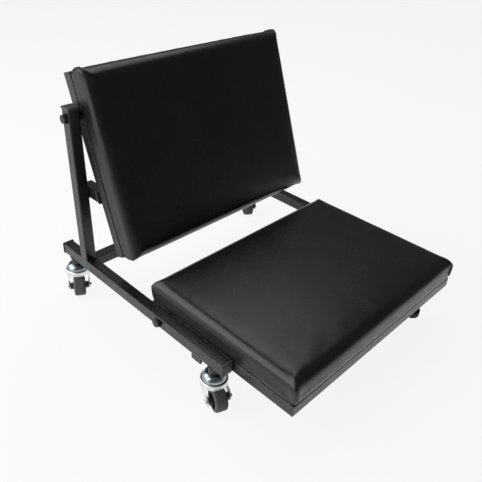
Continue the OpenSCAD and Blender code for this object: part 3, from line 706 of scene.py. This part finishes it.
def pad_point(p, half, thick, edge, wrap, corner_sharp=5.0):
    """Moves a point of a box's surface onto the pad, round above and wrapped below."""
    upper = p[2] > thick / 2
    bend = 2.0 if upper else 3.5
    reach = (edge, edge, edge if upper else wrap)
    inner = (max(edge - half[0], min(half[0] - edge, p[0])), max(edge - half[1], min(half[1] - edge, p[1])),
             max(wrap, min(thick - edge, p[2])))
    d = [(p[i] - inner[i]) / reach[i] for i in range(3)]
    plan = (abs(d[0]) ** corner_sharp + abs(d[1]) ** corner_sharp) ** (1 / corner_sharp)
    far = (plan ** bend + abs(d[2]) ** bend) ** (1 / bend)
    if far < 1e-9:
        return Vector(p)
    return Vector([inner[i] + reach[i] * d[i] / far for i in range(3)])


def pad_mesh(name, half, thick, crown, pitch=0.009, edge=0.018, wrap=0.006, belly_out=(0.0014, 0.0042)):
    """Crowned rounded box on Z = 0 whose sides swell out over the board, more at its two ends."""
    xs = eased_steps(half[0], edge, pitch)
    ys = eased_steps(half[1], edge, pitch)
    belly = 5
    low = [wrap - wrap * math.tan(math.radians(45 * k / 3)) for k in (3, 2, 1)]
    high = [thick - edge + edge * math.tan(math.radians(45 * k / 4)) for k in (1, 2, 3, 4)]
    zs = low + [wrap + (thick - edge - wrap) * k / belly for k in range(belly + 1)] + high
    bm = bmesh.new()
    found = {}

    def corner_at(i, j, k):
        if (i, j, k) not in found:
            p = pad_point((xs[i], ys[j], zs[k]), half, thick, edge, wrap)
            reach_x, reach_y = p.x / half[0], p.y / half[1]
            level = min(1.0, max(0.0, p.z / thick))
            swell = math.sin(math.pi * min(1.0, 1.1 * level)) ** 0.6
            out_x = belly_out[0] * swell * abs(reach_x) ** 8 * (1 - 0.5 * abs(reach_y) ** 6)
            out_y = belly_out[1] * swell * abs(reach_y) ** 8 * (1 - 0.5 * abs(reach_x) ** 6)
            p.x += math.copysign(out_x, p.x)
            p.y += math.copysign(out_y, p.y)
            lift = max(0.0, min(1.0, 2 * level - 1))
            p.z += crown * lift * max(0.0, 1 - abs(reach_x) ** 2.2) * max(0.0, 1 - abs(reach_y) ** 2.2)
            found[(i, j, k)] = bm.verts.new(p)
        return found[(i, j, k)]

    def face(*spots):
        bm.faces.new([corner_at(*spot) for spot in spots])

    nx, ny, nz = len(xs) - 1, len(ys) - 1, len(zs) - 1
    for k, up in ((0, False), (nz, True)):
        for i in range(nx):
            for j in range(ny):
                ring = [corner_at(i, j, k), corner_at(i + 1, j, k),
                        corner_at(i + 1, j + 1, k), corner_at(i, j + 1, k)]
                bm.faces.new(ring if up else ring[::-1])
    for k in range(nz):
        for i in range(nx):
            face((i, 0, k), (i + 1, 0, k), (i + 1, 0, k + 1), (i, 0, k + 1))
            face((i + 1, ny, k), (i, ny, k), (i, ny, k + 1), (i + 1, ny, k + 1))
        for j in range(ny):
            face((0, j + 1, k), (0, j, k), (0, j, k + 1), (0, j + 1, k + 1))
            face((nx, j, k), (nx, j + 1, k), (nx, j + 1, k + 1), (nx, j, k + 1))
    mesh = bpy.data.meshes.new(name)
    bm.to_mesh(mesh)
    bm.free()
    mesh.materials.append(VINYL)
    mesh.shade_smooth()
    return mesh


COVER_CLOTH = {"quality": 5, "mass": 0.3, "tension_stiffness": 25, "compression_stiffness": 25,
               "shear_stiffness": 12, "bending_stiffness": 2.5, "shrink_min": -0.012}


def swollen(piece, pinned_below, pressure, cap, frames=20):
    """Blows the cover up as cloth, with its lower edge held, and caps how far a point may move."""
    held = piece.vertex_groups.new(name="held")
    for v in piece.data.vertices:
        share = max(0.0, min(1.0, (2 * pinned_below - v.co.z) / pinned_below))
        held.add([v.index], share, "REPLACE")
    before = [v.co.copy() for v in piece.data.vertices]
    cloth = piece.modifiers.new("cover", "CLOTH")
    for setting, value in COVER_CLOTH.items():
        setattr(cloth.settings, setting, value)
    cloth.settings.use_pressure = True
    cloth.settings.uniform_pressure_force = pressure
    cloth.settings.vertex_group_mass = "held"
    cloth.settings.effector_weights.gravity = 0
    cloth.point_cache.frame_start = 1
    cloth.point_cache.frame_end = frames
    scene = bpy.context.scene
    for n in range(1, frames + 1):
        scene.frame_set(n)
    graph = bpy.context.evaluated_depsgraph_get()
    puffed = [v.co.copy() for v in piece.evaluated_get(graph).data.vertices]
    piece.modifiers.remove(cloth)
    scene.frame_set(1)
    piece.vertex_groups.remove(held)
    for v, start, end in zip(piece.data.vertices, before, puffed):
        move = end - start
        if move.length > 1e-9:
            move *= cap * math.tanh(move.length / cap) / move.length
        v.co = start + move


def refined(piece, levels=1):
    """Applies one subdivision."""
    modifier = piece.modifiers.new("finer", "SUBSURF")
    modifier.levels = levels
    modifier.render_levels = levels
    applied(piece, modifier)


def cut_recess(piece, half, depth):
    """Sinks the flat underside inside the board's outline, so that the pad sits over its board."""
    low = -0.01
    block = bmesh.new()
    bmesh.ops.create_cube(block, size=1.0)
    for v in block.verts:
        v.co = Vector((2 * half[0] * v.co.x, 2 * half[1] * v.co.y, low + (depth - low) * (v.co.z + 0.5)))
    made = bpy.data.meshes.new("recess_block")
    block.to_mesh(made)
    block.free()
    tool = new_piece("recess_tool", made)
    modifier = piece.modifiers.new("recess", "BOOLEAN")
    modifier.operation = "DIFFERENCE"
    modifier.solver = "EXACT"
    modifier.object = tool
    applied(piece, modifier)
    bpy.data.objects.remove(tool)


def settle_height(mesh, limit):
    """Lowers the crown so that it ends at its limit."""
    top = max(v.co.z for v in mesh.vertices)
    start = 0.7 * PAD_THICK
    if top > limit:
        for v in mesh.vertices:
            if v.co.z > start:
                v.co.z = start + (v.co.z - start) * (limit - start) / (top - start)


def gathered_corners(mesh, half, stand=0.0035, spread=0.030):
    """Pushes the cover out at the four corners, where its cloth is gathered."""
    for v in mesh.vertices:
        near = math.hypot(half[0] - abs(v.co.x), half[1] - abs(v.co.y))
        height = v.co.z / PAD_THICK
        if near < spread and 0.15 < height < 1.1:
            push = stand * (1 - near / spread) ** 2 * math.sin(math.pi * (height - 0.15) / 0.95)
            v.co.x += math.copysign(push, v.co.x)
            v.co.y += math.copysign(push, v.co.y)


COVERS = {}
for key, panel in PANELS.items():
    half = (panel["half_w"] - PAD_INSET, (panel["fore"] + panel["aft"]) / 2 - PAD_INSET)
    foam = pad_mesh(key + "_pad", half, PAD_THICK - FOAM_SHORT, PAD_CROWN - CROWN_SHORT)
    pad = new_piece(key + "_pad", foam)
    swollen(pad, HELD_EDGE, COVER_PRESSURE, COVER_MOVE)
    refined(pad)
    settle_height(pad.data, PAD_THICK + PAD_CROWN)
    gathered_corners(pad.data, half)
    to_pad = Matrix.Translation((0, (panel["aft"] - panel["fore"]) / 2, TUBE / 2 - panel["drop"] + PAD_CLEAR))
    skin = BVHTree.FromPolygons([v.co for v in pad.data.vertices], [p.vertices for p in pad.data.polygons])
    COVERS[key] = (skin, half, panel["place"] @ to_pad)
    cut_recess(pad, (half[0] - BOARD_INSET + PAD_CLEAR, half[1] - BOARD_INSET + PAD_CLEAR), BOARD_T)
    pad.data.materials.clear()
    pad.data.materials.append(VINYL)
    pad.data.shade_smooth()
    pad.data.set_sharp_from_angle(angle=math.radians(60))
    pad.data.transform(panel["place"] @ to_pad)
    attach(pad, BODY_OF[key])
    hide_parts(key + "_cushion")


# Pleats at the pads' corners: the spare cloth of the cover is folded over itself at each corner and
# pulled down under the board, so that a rounded fold stands on the front or rear face beside it.

PLEAT_ROWS = 18
PLEAT_COLUMNS = 12
PLEAT_LOW, PLEAT_HIGH = 0.0015, 0.040
PLEAT_END, PLEAT_BOW = 0.0015, 0.011
PLEAT_BACK = 0.007
PLEAT_STAND = 0.0021
PLEAT_SINK = 0.0008


def corner_outline(half, sx, sy, along):
    """Point of the pad's sharp outline, along the end face when positive and the side when negative."""
    if along >= 0:
        return sx * (half[0] - along), sy * half[1]
    return sx * half[0], sy * (half[1] + along)


def pleat_mesh(name, cover, half):
    """Four folds laid on a pad's cover, each a closed thin leaf sunk into it by its back."""
    bm = bmesh.new()
    for sx in (-1, 1):
        for sy in (-1, 1):
            sheets = ([], [])
            for r in range(PLEAT_ROWS + 1):
                share = r / PLEAT_ROWS
                z = PLEAT_LOW + (PLEAT_HIGH - PLEAT_LOW) * share
                arch = math.sin(math.pi * min(1.0, share * 1.02)) ** 0.8
                bow = PLEAT_END + (PLEAT_BOW - PLEAT_END) * arch
                back = PLEAT_BACK * (1 - 0.6 * share)
                for sheet in sheets:
                    sheet.append([])
                for c in range(PLEAT_COLUMNS + 1):
                    across = c / PLEAT_COLUMNS
                    x, y = corner_outline(half, sx, sy, -back + (back + bow) * across)
                    spot, normal, _, _ = cover.find_nearest(Vector((x, y, z)))
                    taper = math.sin(math.pi * min(0.97, max(0.03, share))) ** 0.4
                    rise = PLEAT_STAND * min(1.0, across * 1.6) ** 2 * taper
                    if c == PLEAT_COLUMNS:
                        rise *= 0.55
                    sheets[0][r].append(bm.verts.new(spot + normal * (rise if c else -0.0002)))
                    sheets[1][r].append(bm.verts.new(spot - normal * PLEAT_SINK))
            for r in range(PLEAT_ROWS):
                for c in range(PLEAT_COLUMNS):
                    for sheet in sheets:
                        bm.faces.new((sheet[r][c], sheet[r][c + 1], sheet[r + 1][c + 1], sheet[r + 1][c]))
            top, low = sheets
            for r in range(PLEAT_ROWS):
                for c in (0, PLEAT_COLUMNS):
                    bm.faces.new((top[r][c], top[r + 1][c], low[r + 1][c], low[r][c]))
            for c in range(PLEAT_COLUMNS):
                for r in (0, PLEAT_ROWS):
                    bm.faces.new((top[r][c], top[r][c + 1], low[r][c + 1], low[r][c]))
    return mesh_from(name, bm, VINYL)


for key, panel in PANELS.items():
    cover, half, place = COVERS[key]
    pleats = new_piece(key + "_cover_pleats", pleat_mesh(key + "_cover_pleats", cover, half))
    pleats.data.transform(place)
    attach(pleats, BODY_OF[key])


# Turned-under margins of the covers: the cloth is pulled round the board's edge and stapled to its
# underside. Inside the frame's opening a strip of it shows, cut a little unevenly with shears.

MARGIN_W = 0.017
MARGIN_T = 0.0007
MARGIN_SINK = 0.00005
FRAME_GAP = 0.0006
STAPLE_PITCH = 0.037
STAPLE_FROM_CORNER = 0.02
STAPLE_SLANT = 0.2
STAPLE_CROWN = 0.0105


def opening_of(panel):
    """Inner outline of a panel's frame, as lowest and highest x and y."""
    x = panel["half_w"] - TUBE - FRAME_GAP
    return -x, x, TUBE + FRAME_GAP - panel["fore"], panel["aft"] - TUBE - FRAME_GAP


def margin_mesh(name, panel, count=(86, 60)):
    """Flat strip round the opening, with an unevenly cut inner edge."""
    x0, x1, y0, y1 = opening_of(panel)
    under = TUBE / 2 - panel["drop"]
    corners = [(x0, y0), (x1, y0), (x1, y1), (x0, y1)]
    outer = [(ax + (bx - ax) * k / steps, ay + (by - ay) * k / steps)
             for (ax, ay), (bx, by), steps in zip(corners, corners[1:] + corners[:1], 2 * count)
             for k in range(steps)]
    bm = bmesh.new()
    loops = [[], [], [], []]
    for n, (x, y) in enumerate(outer):
        wide = MARGIN_W + 0.0014 * math.sin(0.9 * n) + 0.0009 * math.sin(2.3 * n + 1.0)
        inner_x_at = max(x0 + wide, min(x1 - wide, x))
        inner_y_at = max(y0 + wide, min(y1 - wide, y))
        ripple = 0.0001 * math.sin(0.37 * n) * math.sin(1.3 * n)
        for loop, spot in zip(loops, ((x, y, under - MARGIN_SINK), (x, y, under - MARGIN_T - ripple),
                                      (inner_x_at, inner_y_at, under - 0.8 * MARGIN_T - ripple),
                                      (inner_x_at, inner_y_at, under - MARGIN_SINK))):
            loop.append(bm.verts.new(spot))
    total = len(outer)
    for n in range(total):
        m = (n + 1) % total
        for one, two in zip(loops, loops[1:] + loops[:1]):
            bm.faces.new((one[n], one[m], two[m], two[n]))
    return mesh_from(name, bm, VINYL)


def staple_mesh(name, crown=STAPLE_CROWN, wide=0.0012, thick=0.0006, leg=0.004):
    """Staple under Z = 0, its crown along X and its legs up in the board, with rounded edges."""
    bm = bmesh.new()
    r = 0.45 * thick
    path = [(-crown / 2, leg), (-crown / 2, -0.0002), (-crown / 2 + r, -thick), (crown / 2 - r, -thick),
            (crown / 2, -0.0002), (crown / 2, leg)]
    inner = [(-crown / 2 + thick, leg), (-crown / 2 + thick, 0), (-crown / 2 + thick + r, 0.0),
             (crown / 2 - thick - r, 0.0), (crown / 2 - thick, 0), (crown / 2 - thick, leg)]
    sides = []
    brim = wide / 2 - 0.00015
    for y, grow in ((-wide / 2, 0.0001), (-brim, 0.0), (brim, 0.0), (wide / 2, 0.0001)):
        sides.append(([bm.verts.new((x, y, z + grow)) for x, z in path],
                      [bm.verts.new((x, y, z + grow)) for x, z in inner]))
    for (out_a, in_a), (out_b, in_b) in zip(sides, sides[1:]):
        for k in range(len(path) - 1):
            bm.faces.new((out_a[k], out_a[k + 1], out_b[k + 1], out_b[k]))
            bm.faces.new((in_a[k], in_b[k], in_b[k + 1], in_a[k + 1]))
        for k in (0, len(path) - 1):
            bm.faces.new((out_a[k], out_b[k], in_b[k], in_a[k]))
    for out, inside in (sides[0], sides[-1]):
        for k in range(len(path) - 1):
            bm.faces.new((out[k], out[k + 1], inside[k + 1], inside[k]))
    return mesh_from(name, bm, STEEL_SATIN)


def staple_row(start, end):
    """Points from one corner to the next, evenly spread and clear of both."""
    length = math.dist(start, end)
    count = max(2, round(length / STAPLE_PITCH))
    return [tuple(a + (b - a) * (k + 0.5) / count for a, b in zip(start, end)) for k in range(count)]


for key, panel in PANELS.items():
    margin = new_piece(key + "_cover_margin", margin_mesh(key + "_cover_margin", panel))
    margin.data.transform(panel["place"])
    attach(margin, BODY_OF[key])
    x0, x1, y0, y1 = opening_of(panel)
    mid, under = 0.5 * MARGIN_W, TUBE / 2 - panel["drop"] - MARGIN_T
    off = STAPLE_FROM_CORNER
    long_rows = [p for y in (y0 + mid, y1 - mid)
                 for p in staple_row((x0 + off, y, under), (x1 - off, y, under))]
    short_rows = [p for x in (x0 + mid, x1 - mid)
                  for p in staple_row((x, y0 + off, under), (x, y1 - off, under))]
    slant, crossed = (0.0, 0.0, -STAPLE_SLANT), (0.0, 0.0, math.pi / 2 - STAPLE_SLANT)
    staples = joined(key + "_staples", [
        fastened(key + "_long_staples", staple_mesh("staple"), long_rows, slant, spin=0.4, seed=21),
        fastened(key + "_short_staples", staple_mesh("staple"), short_rows, crossed, spin=0.4, seed=22)])
    staples.data.transform(panel["place"])
    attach(staples, BODY_OF[key])


# Floor, light and camera: a pale floor under soft light from the left, and the camera where the
# photograph was taken from.

def stage_floor():
    bpy.ops.mesh.primitive_plane_add(size=40, location=(0, 0, -0.0002))
    floor = bpy.context.object
    floor.name = "studio_floor"
    material, tree, shader = new_material("studio_floor")
    shader.inputs["Base Color"].default_value = (0.80, 0.80, 0.80, 1)
    shader.inputs["Roughness"].default_value = 0.9
    shader.inputs["Specular IOR Level"].default_value = 0.0
    glow = add(tree, "ShaderNodeEmission", {"Color": (1, 1, 1, 1), "Strength": 1.0})
    mix = add(tree, "ShaderNodeMixShader")
    path = add(tree, "ShaderNodeLightPath")
    where = add(tree, "ShaderNodeTexCoord")
    reach = add(tree, "ShaderNodeVectorMath", operation="LENGTH")
    # Reflected rays see the floor glow, strongest near the object and fading further off: a painted
    # reflection of a bright floor round it.
    near = add(tree, "ShaderNodeMapRange", {"From Min": 0.9, "From Max": 2.4, "To Min": 0.85, "To Max": 0.08})
    floor_glow_in_reflections = add(tree, "ShaderNodeMath", operation="MULTIPLY")
    straight = add(tree, "ShaderNodeMath", {1: 0.88}, operation="MULTIPLY")
    seen = add(tree, "ShaderNodeMath", operation="MAXIMUM")
    through = add(tree, "ShaderNodeMath", operation="MAXIMUM")
    wire(tree, (where, "Object", reach, 0), (reach, "Value", near, "Value"),
         (path, "Is Glossy Ray", floor_glow_in_reflections, 0), (near, "Result", floor_glow_in_reflections, 1),
         (path, "Is Camera Ray", seen, 0), (path, "Is Transmission Ray", seen, 1), (seen, 0, straight, 0),
         (straight, 0, through, 0), (floor_glow_in_reflections, 0, through, 1), (through, 0, mix, "Fac"),
         (shader, "BSDF", mix, 1), (glow, "Emission", mix, 2))
    tree.links.new(mix.outputs["Shader"], tree.nodes["Material Output"].inputs["Surface"])
    floor.data.materials.append(material)


stage_floor()

world = bpy.data.worlds.new("studio") if bpy.context.scene.world is None else bpy.context.scene.world
bpy.context.scene.world = world
world.use_nodes = True
sky = world.node_tree
backdrop = sky.nodes["Background"]
backdrop.inputs["Color"].default_value = (0.97, 0.985, 1.0, 1)
sky_path = add(sky, "ShaderNodeLightPath")
straight_on = add(sky, "ShaderNodeMath", operation="MAXIMUM")
bright = add(sky, "ShaderNodeMapRange", {"To Min": 0.13, "To Max": 0.97})
wire(sky, (sky_path, "Is Camera Ray", straight_on, 0), (sky_path, "Is Transmission Ray", straight_on, 1),
     (straight_on, 0, bright, "Value"), (bright, "Result", backdrop, "Strength"))


def lamp(name, at, aim, size, power, colour=(1, 1, 1)):
    data = bpy.data.lights.new(name, "AREA")
    data.shape = "RECTANGLE"
    data.size, data.size_y = size
    data.energy = power
    data.color = colour
    light = bpy.data.objects.new(name, data)
    light.location = at
    light.rotation_mode = "QUATERNION"
    light.rotation_quaternion = (Vector(aim) - Vector(at)).to_track_quat("-Z", "Y")
    bpy.context.scene.collection.objects.link(light)


lamp("left_softbox", (-2.3, 1.3, 1.4), (0, 0, 0.2), (3.4, 2.6), 88)
lamp("top_softbox", (0.6, 0.9, 2.6), (0, 0, 0), (2.0, 2.0), 24)

PIXELS = 482
FOCAL_PIXELS = 562.24
YAW, PITCH, ROLL = 0.821, 0.579, 0.055
CAMERA_AT = (-0.82197, -0.71111, 0.87263)
forward = Vector((math.sin(YAW) * math.cos(PITCH), math.cos(YAW) * math.cos(PITCH), -math.sin(PITCH)))
level = Vector((math.cos(YAW), -math.sin(YAW), 0))
upward = level.cross(forward)
right = math.cos(ROLL) * level + math.sin(ROLL) * upward
top = -math.sin(ROLL) * level + math.cos(ROLL) * upward
view = bpy.data.cameras.new("photo_view")
view.sensor_width = 36
view.sensor_fit = "HORIZONTAL"
view.lens = FOCAL_PIXELS * view.sensor_width / PIXELS
camera = bpy.data.objects.new("photo_view", view)
turn = Matrix((right, top, -forward)).transposed().to_4x4()
camera.matrix_world = Matrix.Translation(CAMERA_AT) @ turn
bpy.context.scene.collection.objects.link(camera)
bpy.context.scene.camera = camera
bpy.context.scene.view_settings.view_transform = "Standard"
